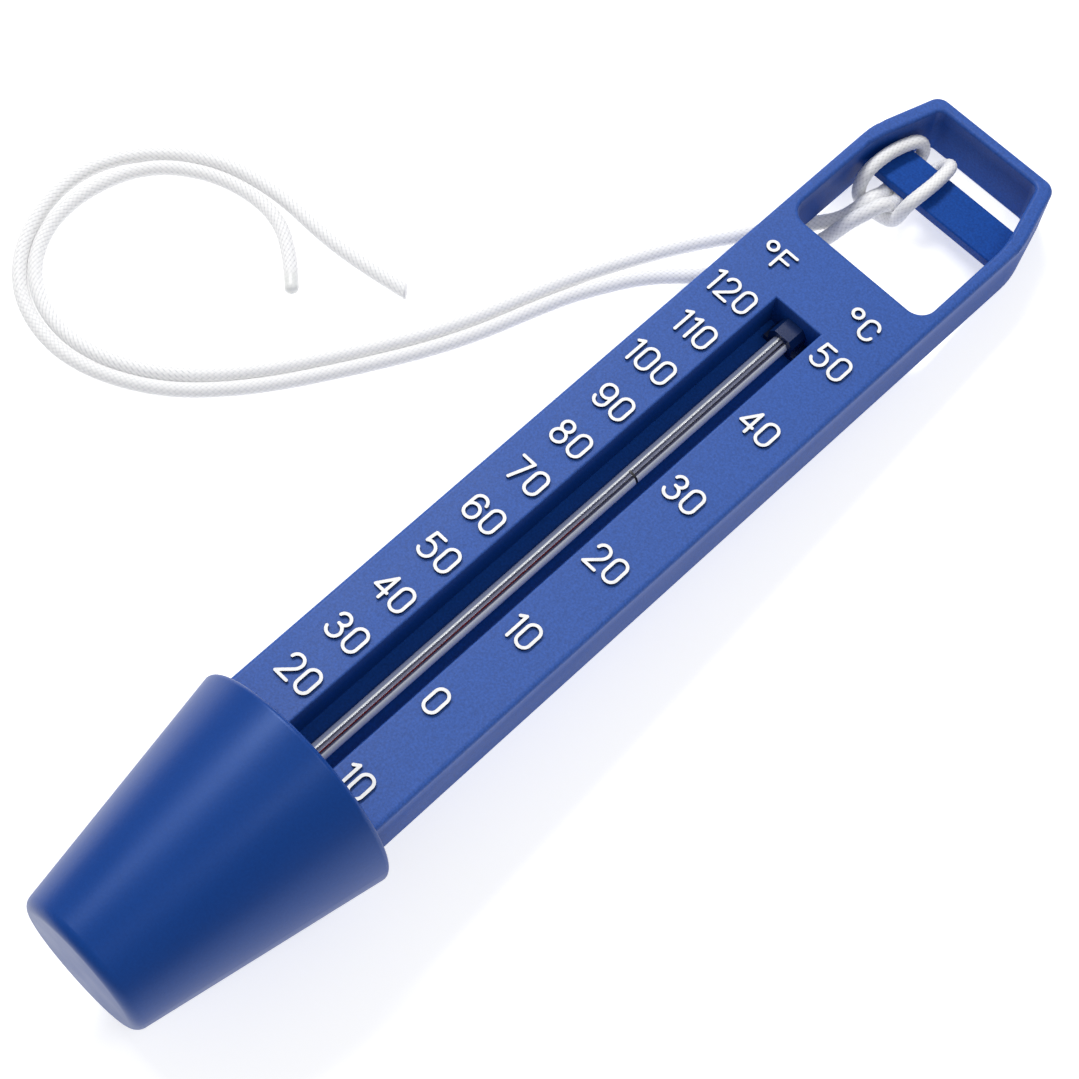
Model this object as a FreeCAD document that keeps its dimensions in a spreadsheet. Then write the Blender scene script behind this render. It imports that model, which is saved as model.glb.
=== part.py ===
"""Pool thermometer that floats head-up: a hollow plastic scale body with a pierced head and
a cross bar for its cord, a round water cup at the foot, and a glass spirit thermometer lying
in a deep slot down the middle of the scale.

Working axes of the pieces: X to the reader's right, Y from the cup towards the head, Z out of
the scale's face. Y = 0 is the cup's rim and Z = 0 is the face. The whole assembly is then
laid on its back, on the cup's rim and the head's back edge, and placed with its origin at the
middle of its footprint.
"""
import FreeCAD, Part
import math
import os

import Sketcher
from FreeCAD import Placement, Rotation, Vector

DOC = FreeCAD.newDocument("pool_thermometer")

# ------------------------------------------------------------------ driving dimensions

DIMENSIONS = [
    # scale body
    ("body_depth", 13.5),
    ("half_at_rim", 20.6),
    ("half_at_head", 21.5),
    ("bend_height", 189.0),
    ("half_at_top", 16.4),
    ("head_top", 205.8),
    ("head_corner", 3.2),
    ("head_bend", 22.0),
    ("edge_round", 1.0),
    ("skin", 2.2),
    ("wall", 1.8),
    ("side_foot", 2.5),
    # window through the head, and its cross bar
    ("window_foot", 159.0),
    ("window_top", 203.0),
    ("window_half", 18.5),
    ("window_half_top", 13.6),
    ("window_bend", 186.5),
    ("window_foot_round", 4.0),
    ("window_top_round", 2.0),
    ("window_edge_round", 0.8),
    ("bar_foot", 185.1),
    ("bar_top", 195.0),
    ("bar_recess", 7.0),
    ("bar_thick", 2.8),
    ("bar_edge_round", 0.5),
    ("bar_foot_root", 0.6),
    ("bar_top_root", 1.2),
    # slot for the glass
    ("slot_half", 6.15),
    ("slot_top", 140.9),
    ("slot_depth", 9.0),
    ("slot_floor", 1.4),
    ("slot_edge_round", 0.45),
    # tongue of the body inside the cup
    ("shoulder_foot", 14.0),
    ("shoulder_half", 13.0),
    ("fork_top", 18.0),
    ("prong_outer", 10.4),
    ("prong_foot", 50.4),
    ("tongue_step", 3.0),
    ("cut_beyond", 1.0),
    # back cover
    ("cover_thick", 1.6),
    ("cover_margin", 1.2),
    ("cover_foot", 4.0),
    ("cover_top", 156.4),
    ("cover_gap", 0.05),
    ("cavity_foot", 6.0),
    ("cavity_top", 154.4),
    # water cup
    ("cup_axis_drop", 9.7),
    ("rim_radius", 25.7),
    ("base_radius", 15.6),
    ("cup_length", 54.2),
    ("cup_wall", 2.0),
    ("cup_floor", 2.4),
    ("lip_round", 0.95),
    ("base_round", 2.6),
    ("rib_thick", 1.5),
    ("rib_gap", 0.1),
    ("rib_high", -4.0),
    ("rib_low", -20.0),
    ("front_rib_high_reach", 20.9),
    ("front_rib_low_reach", 17.4),
    ("back_rib_high_reach", 23.6),
    ("back_rib_low_reach", 20.6),
    ("rib_depth", 3.2),
    ("socket_wall", 1.2),
    ("socket_height", 4.0),
    # glass tube and spirit
    ("tube_radius", 2.0),
    ("tube_drop", 6.6),
    ("tube_top", 139.2),
    ("bore_radius", 0.45),
    ("bore_top", 137.0),
    ("neck_bore_radius", 0.66),
    ("neck_bore_top", -4.0),
    ("bulb_radius", 2.7),
    ("bulb_top", -34.5),
    ("bulb_foot", -49.6),
    ("bulb_wall", 0.7),
    ("bulb_shoulder", 1.6),
    ("bulb_toe", 1.4),
    ("bulb_toe_radius", 1.6),
    ("tip_taper", 0.9),
    ("tip_radius", 1.1),
    ("reservoir_step", 0.6),
    ("spirit_gap", 0.03),
    ("thread_radius", 0.40),
    ("thread_foot", -33.0),
    ("thread_top", 77.5),
    # scale: height of 0 degF and millimetres per degF
    ("scale_zero", -12.77),
    ("scale_step", 1.228),
    ("index_degree", 84.4),
    ("index_width", 0.5),
    ("index_thick", 0.08),
    ("index_turn", 100),
    # retaining pieces of the tube
    ("clip_length", 4.4),
    ("clip_wall", 1.1),
    ("clip_gap", 0.08),
    ("clip_end_gap", 0.05),
    ("clip_foot", 1.1),
    ("clip_foot_height", 1.4),
    ("clip_shoulder", 1.6),
    ("clip_crown_half", 1.97),
    ("clip_crown_wall", 1.2),
    ("grommet_foot", -13.6),
    ("grommet_top", -5.6),
    ("grommet_front", 2.4),
    ("grommet_gap", 0.02),
    # raised figures
    ("figure_height", 5.62),
    ("figure_width", 3.05),
    ("figure_stroke", 0.68),
    ("figure_rise", 0.7),
    ("figure_gap", 0.87),
    ("fahrenheit_edge", -7.72),
    ("celsius_edge", 8.12),
    ("unit_height", 5.1),
    ("fahrenheit_mark_edge", -16.35),
    ("fahrenheit_mark_height", 147.9),
    ("celsius_mark_edge", 6.95),
    ("celsius_mark_height", 148.6),
    # cord
    ("cord_diameter", 3.4),
    ("hitch_diameter", 3.15),
]

SHEET = DOC.addObject("Spreadsheet::Sheet", "Sizes")
for row, (alias, amount) in enumerate(DIMENSIONS, start=1):
    SHEET.set("A%d" % row, alias)
    SHEET.set("B%d" % row, repr(amount))
    SHEET.setAlias("B%d" % row, alias)
DOC.recompute()


class Size:
    """A length that knows both its value and the sheet expression that drives it."""

    def __init__(self, text, value):
        self.text = text
        self.value = value

    @staticmethod
    def of(other):
        if isinstance(other, Size):
            return other
        return Size(repr(float(other)), float(other))

    def __add__(self, other):
        other = Size.of(other)
        return Size("(%s + %s)" % (self.text, other.text), self.value + other.value)

    def __sub__(self, other):
        other = Size.of(other)
        return Size("(%s - %s)" % (self.text, other.text), self.value - other.value)

    def __mul__(self, other):
        other = Size.of(other)
        return Size("(%s * %s)" % (self.text, other.text), self.value * other.value)

    def __neg__(self):
        return Size("(-1 * %s)" % self.text, -self.value)


def size(alias):
    return Size("Sizes." + alias, float(SHEET.get(alias)))


def mm(alias):
    return float(SHEET.get(alias))


# ------------------------------------------------------------------ document helpers

NODES = []
CORDS = []


def new_body(label):
    body = DOC.addObject("PartDesign::Body", label)
    body.Label = label
    NODES.append(body)
    return body


def plane_of(body, role):
    for feature in body.Origin.OriginFeatures:
        if feature.Role == role:
            return feature
    raise ValueError("no plane " + role)


def new_sketch(body, name, role="XY_Plane", offset=None):
    """A sketch on one of the body's own origin planes, raised by offset along its normal."""
    sketch = body.newObject("Sketcher::SketchObject", name)
    sketch.AttachmentSupport = [(plane_of(body, role), "")]
    sketch.MapMode = "FlatFace"
    if offset is not None:
        sketch.setExpression(".AttachmentOffset.Base.z", Size.of(offset).text)
    return sketch


def bind(sketch, kind, *arguments):
    """One driving constraint, its value bound to the sheet."""
    amount = Size.of(arguments[-1])
    number = sketch.addConstraint(Sketcher.Constraint(kind, *arguments[:-1], amount.value))
    sketch.setExpression("Constraints[%d]" % number, amount.text)


def add_polygon(sketch, corners):
    """A closed outline of straight sides with every corner bound to the sheet."""
    first = sketch.GeometryCount
    points = [Vector(Size.of(x).value, Size.of(y).value, 0) for x, y in corners]
    for start, end in zip(points, points[1:] + points[:1]):
        sketch.addGeometry(Part.LineSegment(start, end), False)
    count = len(corners)
    for index in range(count):
        following = first + (index + 1) % count
        sketch.addConstraint(Sketcher.Constraint("Coincident", first + index, 2, following, 1))
    for index, (x, y) in enumerate(corners):
        bind(sketch, "DistanceX", -1, 1, first + index, 1, x)
        bind(sketch, "DistanceY", -1, 1, first + index, 1, y)


def add_circle(sketch, x, y, radius):
    number = sketch.addGeometry(
        Part.Circle(Vector(Size.of(x).value, Size.of(y).value, 0), Vector(0, 0, 1),
                    Size.of(radius).value), False)
    bind(sketch, "DistanceX", -1, 1, number, 3, x)
    bind(sketch, "DistanceY", -1, 1, number, 3, y)
    bind(sketch, "Radius", number, radius)


def mirrored(corners):
    """The right half of an outline, foot to top, closed by its mirror image."""
    return list(corners) + [(-Size.of(x), y) for x, y in reversed(list(corners))]


def pad(body, sketch, name, length, downwards=False, midplane=False):
    feature = body.newObject("PartDesign::Pad", name)
    feature.Profile = sketch
    feature.setExpression("Length", Size.of(length).text)
    feature.Reversed = downwards
    feature.Midplane = midplane
    DOC.recompute()
    return feature


def pocket(body, sketch, name, length, upwards=False):
    """A pocket that has to remove material."""
    before = body.Shape.Volume
    feature = body.newObject("PartDesign::Pocket", name)
    feature.Profile = sketch
    feature.setExpression("Length", Size.of(length).text)
    feature.Reversed = upwards
    DOC.recompute()
    if body.Shape.Volume > before - 1.0:
        raise ValueError("pocket cuts nothing: " + name)
    return feature


def turn(body, sketch, name, kind="PartDesign::Revolution", angle=360):
    feature = body.newObject(kind, name)
    feature.Profile = sketch
    feature.ReferenceAxis = (sketch, ["V_Axis"])
    feature.Angle = angle
    DOC.recompute()
    return feature


def round_edges(body, name, radius, chosen):
    """Fillet the edges of the body's tip that the test picks out."""
    tip = body.Tip
    names = []
    for number, edge in enumerate(tip.Shape.Edges, start=1):
        if chosen(edge):
            names.append("Edge%d" % number)
    if not names:
        raise ValueError("no edges for " + name)
    feature = body.newObject("PartDesign::Fillet", name)
    feature.Base = (tip, names)
    feature.setExpression("Radius", Size.of(radius).text)
    DOC.recompute()
    return feature


def lies_at(edge, z):
    return all(abs(vertex.Z - z) < 1e-4 for vertex in edge.Vertexes)


def upright_at(edge, x, y):
    """An edge along Z that stands at |X| = x, Y = y."""
    ends = edge.Vertexes
    if len(ends) != 2 or abs(ends[0].Z - ends[1].Z) < 1.0:
        return False
    return all(abs(abs(end.X) - x) < 1e-3 and abs(end.Y - y) < 1e-3 for end in ends)


def middle(edge):
    return edge.valueAt((edge.FirstParameter + edge.LastParameter) / 2)


# ------------------------------------------------------------------ scale body

def build_scale_body():
    """Front shell: face, side walls, head ring with its bar, slot trough, fork for the cup."""
    body = new_body("scale_body")
    depth = size("body_depth")
    slot = size("slot_half")

    outline = new_sketch(body, "Outline")
    add_polygon(outline, mirrored([
        (size("prong_outer"), -size("prong_foot")),
        (size("prong_outer"), -size("fork_top")),
        (size("shoulder_half"), -size("shoulder_foot")),
        (size("half_at_rim"), -size("side_foot")),
        (size("half_at_head"), size("bend_height")),
        (size("half_at_top"), size("head_top")),
    ]))
    pad(body, outline, "Slab", depth, downwards=True)
    round_edges(body, "HeadCorners", size("head_corner"),
                lambda e: upright_at(e, mm("half_at_top"), mm("head_top")))
    round_edges(body, "HeadBends", size("head_bend"),
                lambda e: upright_at(e, mm("half_at_head"), mm("bend_height")))

    window = new_sketch(body, "Window")
    add_polygon(window, mirrored([
        (size("window_half"), size("window_foot")),
        (size("window_half"), size("window_bend")),
        (size("window_half_top"), size("window_top")),
    ]))
    pocket(body, window, "WindowCut", depth)
    round_edges(body, "WindowFoot", size("window_foot_round"),
                lambda e: upright_at(e, mm("window_half"), mm("window_foot")))
    round_edges(body, "WindowTop", size("window_top_round"),
                lambda e: upright_at(e, mm("window_half_top"), mm("window_top")))
    round_edges(body, "WindowBends", size("head_bend"),
                lambda e: upright_at(e, mm("window_half"), mm("window_bend")))

    def on_window_front(edge):
        if not lies_at(edge, 0):
            return False
        point = middle(edge)
        inside_x = abs(point.x) < mm("window_half") + 0.1
        return inside_x and mm("window_foot") - 0.1 < point.y < mm("window_top") + 0.1

    round_edges(body, "WindowEdges", size("window_edge_round"), on_window_front)

    def on_outer_front(edge):
        return lies_at(edge, 0) and not on_window_front(edge) and middle(edge).y > 0.1 - mm("side_foot")

    round_edges(body, "FrontEdges", size("edge_round"), on_outer_front)

    slot_sketch = new_sketch(body, "Slot")
    add_polygon(slot_sketch, mirrored([
        (slot, -size("fork_top")),
        (slot, size("slot_top")),
    ]))
    pocket(body, slot_sketch, "SlotCut", size("slot_depth"))

    def on_slot_front(edge):
        inside = abs(middle(edge).x) < mm("slot_half") + 0.01
        return lies_at(edge, 0) and inside and -1.0 < middle(edge).y < mm("slot_top") + 0.1

    round_edges(body, "SlotEdges", size("slot_edge_round"), on_slot_front)

    fork = new_sketch(body, "Fork")
    add_polygon(fork, mirrored([
        (slot, -size("prong_foot") - size("cut_beyond")),
        (slot, -size("fork_top")),
    ]))
    pocket(body, fork, "ForkCut", depth)

    step = new_sketch(body, "TongueStep")
    add_polygon(step, mirrored([
        (size("shoulder_half") + size("cut_beyond"), -size("prong_foot") - size("cut_beyond")),
        (size("shoulder_half") + size("cut_beyond"), -size("shoulder_foot")),
    ]))
    pocket(body, step, "TongueStepCut", size("tongue_step"))

    back = -depth
    outer = size("half_at_rim") - size("wall")
    chamber = new_sketch(body, "Chamber", offset=back)
    add_polygon(chamber, mirrored([
        (outer, size("cavity_foot")),
        (outer, size("cavity_top")),
    ]))
    pocket(body, chamber, "ChamberCut", depth - size("slot_depth") - size("slot_floor"), upwards=True)
    for side, name in ((1, "Right"), (-1, "Left")):
        inner = slot + size("wall")
        cell = new_sketch(body, "Cell" + name, offset=back)
        corners = [
            (inner * side, size("cavity_foot")),
            (outer * side, size("cavity_foot")),
            (outer * side, size("cavity_top")),
            (inner * side, size("cavity_top")),
        ]
        add_polygon(cell, corners)
        pocket(body, cell, "CellCut" + name, depth - size("skin"), upwards=True)

    rebate = new_sketch(body, "Rebate", offset=back)
    add_polygon(rebate, cover_outline(Size.of(0)))
    pocket(body, rebate, "RebateCut", size("cover_thick"), upwards=True)

    bar = new_sketch(body, "Bar", offset=-size("bar_recess"))
    add_polygon(bar, mirrored([
        (size("window_half") + size("bar_foot_root"), size("bar_foot")),
        (size("window_half") - size("bar_top_root"), size("bar_top")),
    ]))
    pad(body, bar, "CrossBar", size("bar_thick"), downwards=True)

    def on_bar(edge):
        point = middle(edge)
        long_way = abs(point.x) < 1.0 and edge.Length > 20
        return long_way and mm("bar_foot") - 0.1 < point.y < mm("bar_top") + 0.1

    round_edges(body, "BarEdges", size("bar_edge_round"), on_bar)
    return body


def cover_outline(gap):
    """The back cover's outline, or with no gap the rebate that takes it."""
    low = size("half_at_rim") - size("cover_margin") - gap
    high = size("half_at_head") - size("cover_margin") - gap
    return mirrored([
        (low, size("cover_foot") + gap),
        (high, size("cover_top") - gap),
    ])


def build_back_cover():
    """Flat plate let into the back of the scale body, which seals the float chamber."""
    body = new_body("back_cover")
    plate = new_sketch(body, "Plate", offset=-size("body_depth"))
    add_polygon(plate, cover_outline(size("cover_gap")))
    pad(body, plate, "PlatePad", size("cover_thick") - size("cover_gap"))
    return body


# ------------------------------------------------------------------ water cup

def build_water_cup():
    """Tapered round cup, open at the rim, with ribs and sockets that hold the body's tongue."""
    body = new_body("water_cup")
    wall = size("cup_wall")
    length = size("cup_length")
    rim = size("rim_radius")
    base = size("base_radius")

    profile = new_sketch(body, "Profile")
    profile.setExpression(".AttachmentOffset.Base.z", (-size("cup_axis_drop")).text)
    add_polygon(profile, [
        (0.0, -length),
        (base, -length),
        (rim, 0.0),
        (rim - wall, 0.0),
        (base - wall, -length + size("cup_floor")),
        (0.0, -length + size("cup_floor")),
    ])
    turn(body, profile, "Wall")
    round_edges(body, "BaseRound", size("base_round"),
                lambda e: abs(middle(e).y + mm("cup_length")) < 1e-3 and e.Length > 60)
    round_edges(body, "LipRound", size("lip_round"),
                lambda e: abs(middle(e).y) < 1e-3)

    for place, name in ((size("rib_gap"), "Front"),
                        (-size("body_depth") - size("rib_gap") - size("rib_thick"), "Back")):
        for side, hand in ((1, "Right"), (-1, "Left")):
            rib = new_sketch(body, "Rib" + name + hand, offset=place)
            high_reach = size(name.lower() + "_rib_high_reach")
            low_reach = size(name.lower() + "_rib_low_reach")
            depth = size("rib_depth")
            add_polygon(rib, [
                (high_reach * side, size("rib_high")),
                (low_reach * side, size("rib_low")),
                ((low_reach - depth) * side, size("rib_low")),
                ((high_reach - depth) * side, size("rib_high")),
            ])
            pad(body, rib, "RibPad" + name + hand, size("rib_thick"))

    for side, hand in ((1, "Right"), (-1, "Left")):
        gap = size("rib_gap")
        edge = size("socket_wall")
        socket = new_sketch(body, "Socket" + hand, role="XZ_Plane", offset=length - size("cup_floor"))
        inner_x = size("slot_half") - gap
        outer_x = size("prong_outer") + gap
        front = -size("tongue_step") + gap
        rear = -size("body_depth") - gap
        add_polygon(socket, [
            ((inner_x - edge) * side, rear - edge),
            ((outer_x + edge) * side, rear - edge),
            ((outer_x + edge) * side, front + edge),
            ((inner_x - edge) * side, front + edge),
        ])
        add_polygon(socket, [
            (inner_x * side, rear),
            (outer_x * side, rear),
            (outer_x * side, front),
            (inner_x * side, front),
        ])
        pad(body, socket, "SocketPad" + hand, size("socket_height"), downwards=True)
    return body


# ------------------------------------------------------------------ glass and spirit

def tube_sketch(body, name):
    """A sketch through the tube's axis, which is its vertical axis."""
    return new_sketch(body, name, offset=-size("tube_drop"))


def build_glass_tube():
    """Sealed glass stem with a bulb at its foot, and the fine bore inside."""
    body = new_body("glass_tube")
    outer = tube_sketch(body, "Outer")
    add_polygon(outer, [
        (0.0, size("bulb_foot")),
        (size("bulb_toe_radius"), size("bulb_foot")),
        (size("bulb_radius"), size("bulb_foot") + size("bulb_toe")),
        (size("bulb_radius"), size("bulb_top") - size("bulb_shoulder")),
        (size("tube_radius"), size("bulb_top")),
        (size("tube_radius"), size("tube_top") - size("tip_taper")),
        (size("tip_radius"), size("tube_top")),
        (0.0, size("tube_top")),
    ])
    turn(body, outer, "Stem")
    bore = tube_sketch(body, "Bore")
    add_polygon(bore, spirit_cavity(Size.of(0)))
    turn(body, bore, "BoreCut", kind="PartDesign::Groove")
    return body


def spirit_cavity(gap):
    """Half outline of the space inside the glass; a gap shrinks it."""
    bulb = size("bulb_radius") - size("bulb_wall") - gap
    foot = size("bulb_foot") + size("bulb_wall") + gap
    top = size("bulb_top") - size("bulb_wall") - gap
    neck = size("neck_bore_radius") - gap
    return [
        (0.0, foot),
        (bulb, foot),
        (bulb, top - size("bulb_shoulder")),
        (neck, top),
        (neck, size("neck_bore_top")),
        (size("bore_radius"), size("neck_bore_top")),
        (size("bore_radius"), size("bore_top")),
        (0.0, size("bore_top")),
    ]


def build_spirit_reservoir():
    """Red spirit that fills the bulb and the neck, drilled for the moving thread."""
    body = new_body("spirit_reservoir")
    gap = size("spirit_gap")
    bulb = size("bulb_radius") - size("bulb_wall") - gap
    foot = size("bulb_foot") + size("bulb_wall") + gap
    top = size("bulb_top") - size("bulb_wall") - gap
    neck = size("neck_bore_radius") - gap
    bore = size("bore_radius")
    fill = tube_sketch(body, "Fill")
    add_polygon(fill, [
        (0.0, foot),
        (bulb, foot),
        (bulb, top - size("bulb_shoulder")),
        (neck, top),
        (neck, size("neck_bore_top") - gap),
        (bore, size("neck_bore_top") - gap),
        (bore, foot + size("reservoir_step")),
        (0.0, foot + size("reservoir_step")),
    ])
    turn(body, fill, "FillTurn")
    return body


def build_spirit_thread():
    """The column of spirit whose top reads the temperature."""
    body = new_body("spirit_thread")
    thread = tube_sketch(body, "Column")
    radius = size("thread_radius")
    add_polygon(thread, [
        (0.0, size("thread_foot")),
        (radius, size("thread_foot")),
        (radius, size("thread_top")),
        (0.0, size("thread_top")),
    ])
    turn(body, thread, "ColumnTurn")
    return body


def build_index_mark():
    """Fired black calibration line round the right front quarter of the stem."""
    body = new_body("index_mark")
    line = tube_sketch(body, "Line")
    low = size("scale_zero") + size("scale_step") * size("index_degree")
    high = low + size("index_width")
    add_polygon(line, [
        (size("tube_radius"), low),
        (size("tube_radius") + size("index_thick"), low),
        (size("tube_radius") + size("index_thick"), high),
        (size("tube_radius"), high),
    ])
    feature = turn(body, line, "LineTurn", angle=mm("index_turn"))
    feature.Reversed = True
    DOC.recompute()
    return body


def build_tube_clip():
    """Saddle pressed into the top of the slot over the end of the glass."""
    body = new_body("tube_clip")
    radius = size("tube_radius") + size("clip_gap")
    width = radius + size("clip_wall")
    floor = -size("slot_depth")
    arch = new_sketch(body, "Arch", role="XZ_Plane", offset=-size("slot_top") + size("clip_end_gap"))
    axis_z = -size("tube_drop")
    add_polygon(arch, mirrored([
        (width + size("clip_foot"), floor),
        (width + size("clip_foot"), floor + size("clip_foot_height")),
        (width, floor + size("clip_foot_height")),
        (width, axis_z + size("clip_shoulder")),
        (size("clip_crown_half"), axis_z + size("tube_radius") + size("clip_crown_wall")),
    ]))
    pad(body, arch, "ArchPad", size("clip_length"))
    beyond = -size("slot_top") - size("cut_beyond")
    seat = new_sketch(body, "Seat", role="XZ_Plane", offset=beyond)
    add_circle(seat, 0.0, axis_z, radius)
    pocket(body, seat, "SeatCut", size("clip_length") + size("cut_beyond") * 2, upwards=True)
    mouth = new_sketch(body, "Mouth", role="XZ_Plane", offset=beyond)
    add_polygon(mouth, mirrored([
        (radius, floor - size("cut_beyond")),
        (radius, axis_z),
    ]))
    pocket(body, mouth, "MouthCut", size("clip_length") + size("cut_beyond") * 2, upwards=True)
    return body


def build_bulb_grommet():
    """Soft rubber block in the foot of the slot that holds the stem above the bulb."""
    body = new_body("stem_grommet")
    block = new_sketch(body, "Block", role="XZ_Plane", offset=-size("grommet_top"))
    add_polygon(block, mirrored([
        (size("slot_half") - size("grommet_gap"), -size("slot_depth") + size("grommet_gap")),
        (size("slot_half") - size("grommet_gap"), -size("grommet_front")),
    ]))
    add_circle(block, 0.0, -size("tube_drop"), size("tube_radius") + size("grommet_gap"))
    pad(body, block, "BlockPad", size("grommet_top") - size("grommet_foot"))
    return body


# ------------------------------------------------------------------ raised figures

def arc(start, through, end):
    return Part.Arc(Vector(*start, 0), Vector(*through, 0), Vector(*end, 0)).toShape()


def line(start, end):
    return Part.LineSegment(Vector(*start, 0), Vector(*end, 0)).toShape()


def ring(x, y, radius):
    return [Part.Circle(Vector(x, y, 0), Vector(0, 0, 1), radius).toShape()]


def loop(radius, low, high, shift=0.0):
    """A round, or a slot shape between two heights, that starts at the shifted left edge."""
    left, mid, right = shift, shift + radius, shift + 2 * radius
    edges = [arc((left, high), (mid, high + radius), (right, high)),
             arc((right, low), (mid, low - radius), (left, low))]
    if high > low:
        edges += [line((right, high), (right, low)), line((left, low), (left, high))]
    return edges


def lines(*points):
    return [line(start, end) for start, end in zip(points, points[1:])]


def strokes(sign, w, h):
    """Centre lines of one figure in a cell w wide and h high, and the width it takes."""
    r = w / 2
    small = (h - w) / 2
    bowl = 0.6 * h
    if sign == "0":
        return [loop(r, r, h - r)], w
    if sign == "1":
        stem = 0.36 * w
        return [lines((0, 0.86 * h), (stem, h), (stem, 0))], stem
    if sign == "2":
        return [[arc((0.05 * w, 0.77 * h), (0.46 * w, h), (w, 0.75 * h)),
                 arc((w, 0.75 * h), (0.95 * w, 0.60 * h), (0.78 * w, 0.46 * h)),
                 line((0.78 * w, 0.46 * h), (0, 0)), line((0, 0), (w, 0))]], w
    if sign == "3":
        return [[arc((0.08 * w, 0.82 * h), (0.46 * w, h), (0.94 * w, 0.77 * h)),
                 arc((0.94 * w, 0.77 * h), (0.80 * w, 0.61 * h), (0.42 * w, 0.55 * h)),
                 arc((0.42 * w, 0.55 * h), (0.84 * w, 0.47 * h), (w, 0.28 * h)),
                 arc((w, 0.28 * h), (0.46 * w, 0), (0, 0.20 * h))]], w
    if sign == "4":
        return [lines((0.80 * w, 0), (0.80 * w, h), (0, 0.30 * h), (w, 0.30 * h))], w
    if sign == "5":
        return [lines((0.92 * w, h), (0.14 * w, h), (0.06 * w, 0.56 * h))
                + [arc((0.06 * w, 0.56 * h), (0.56 * w, 0.63 * h), (w, 0.34 * h)),
                   arc((w, 0.34 * h), (0.50 * w, 0), (0, 0.16 * h))]], w
    if sign == "6":
        return [loop(r, r, bowl - r), [line((0, bowl - r), (0, h - r)),
                                       arc((0, h - r), (r, h), (0.97 * w, h - 0.85 * r))]], w
    if sign == "7":
        return [lines((0, h), (w, h), (0.34 * w, 0))], w
    if sign == "8":
        return [loop(r, r, r), loop(small, h - small, h - small, r - small)], w
    if sign == "9":
        return [loop(r, h - bowl + r, h - r), [line((w, h - bowl + r), (w, r)),
                                               arc((w, r), (r, 0), (0.03 * w, 0.85 * r))]], w
    if sign == "F":
        return [lines((0, 0), (0, h), (w, h)), lines((0, 0.52 * h), (0.86 * w, 0.52 * h))], w
    if sign == "C":
        return [[arc((w, 0.74 * h), (0.55 * w, h), (0, h - r * 1.1)),
                 line((0, h - r * 1.1), (0, r * 1.1)),
                 arc((0, r * 1.1), (0.55 * w, 0), (w, 0.26 * h))]], w
    if sign == "o":
        return [ring(0.37 * w, h - 0.37 * w, 0.37 * w)], 0.74 * w
    raise ValueError("no figure " + sign)


def offset_point(edge, parameter, shift):
    """A point beside the edge, shifted square to it in the plane of the face."""
    tangent = edge.tangentAt(parameter)
    return edge.valueAt(parameter) + Vector(-tangent.y, tangent.x, 0) * shift


def ribbon(edge, half):
    """The flat strip that a pen of the given half width draws along a line or an arc."""
    first, last = edge.FirstParameter, edge.LastParameter
    if edge.isClosed():
        centre = edge.Curve.Center
        rims = [Part.Wire(Part.Circle(centre, Vector(0, 0, 1), edge.Curve.Radius + side).toShape())
                for side in (half, -half)]
        return Part.Face(rims[0]).cut(Part.Face(rims[1]))
    sides = []
    for shift in (half, -half):
        ends = [offset_point(edge, first, shift), offset_point(edge, last, shift)]
        if isinstance(edge.Curve, Part.Circle):
            through = offset_point(edge, (first + last) / 2, shift)
            sides.append(Part.Arc(ends[0], through, ends[1]).toShape())
        else:
            sides.append(Part.LineSegment(*ends).toShape())
    caps = [Part.LineSegment(offset_point(edge, at, half), offset_point(edge, at, -half)).toShape()
            for at in (first, last)]
    return Part.Face(Part.Wire([sides[0], caps[1], sides[1], caps[0]]))


def raised(edges, stroke, rise):
    """A figure's stroke with round ends, standing on the face."""
    half = stroke / 2
    faces = [ribbon(edge, half) for edge in edges]
    for edge in edges:
        if not edge.isClosed():
            for vertex in edge.Vertexes:
                disc = Part.Circle(vertex.Point, Vector(0, 0, 1), half).toShape()
                faces.append(Part.Face(Part.Wire(disc)))
    solids = [face.extrude(Vector(0, 0, rise)) for face in faces]
    if len(solids) == 1:
        return solids[0]
    return solids[0].multiFuse(solids[1:])


def figure_solids(text, left, foot, height):
    """Solids of one number with its lower left corner at (left, foot)."""
    stroke = mm("figure_stroke")
    solids = []
    x = left + stroke / 2
    for sign in text:
        paths, width = strokes(sign, mm("figure_width"), height)
        shape = None
        for path in paths:
            part = raised(path, stroke, mm("figure_rise"))
            shape = part if shape is None else shape.fuse(part)
        shape = shape.removeSplitter()
        shape.translate(Vector(x, foot + stroke / 2, 0))
        solids += shape.Solids
        x += width + stroke + mm("figure_gap")
    return solids


def text_width(text):
    total = 0.0
    for sign in text:
        total += strokes(sign, mm("figure_width"), mm("figure_height"))[1]
        total += mm("figure_stroke") + mm("figure_gap")
    return total - mm("figure_gap")


def scale_height(fahrenheit):
    return mm("scale_zero") + mm("scale_step") * fahrenheit


def build_figures(label, entries, height):
    """One object for a row of figures of one height: entries are (text, left edge, middle)."""
    solids = []
    half = (height + mm("figure_stroke")) / 2
    for text, left, centre in entries:
        solids += figure_solids(text, left, centre - half, height)
    feature = DOC.addObject("Part::Feature", label)
    feature.Label = label
    feature.Shape = Part.makeCompound(solids)
    NODES.append(feature)
    return feature


def fahrenheit_entries():
    edge = mm("fahrenheit_edge")
    return [(str(degree), edge - text_width(str(degree)), scale_height(degree))
            for degree in range(20, 121, 10)]


def celsius_entries():
    return [(str(abs(degree)), mm("celsius_edge"), scale_height(32 + 1.8 * degree))
            for degree in range(-10, 51, 10)]


def unit_entries():
    return [("oF", mm("fahrenheit_mark_edge"), mm("fahrenheit_mark_height")),
            ("oC", mm("celsius_mark_edge"), mm("celsius_mark_height"))]


# ------------------------------------------------------------------ cord

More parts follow.
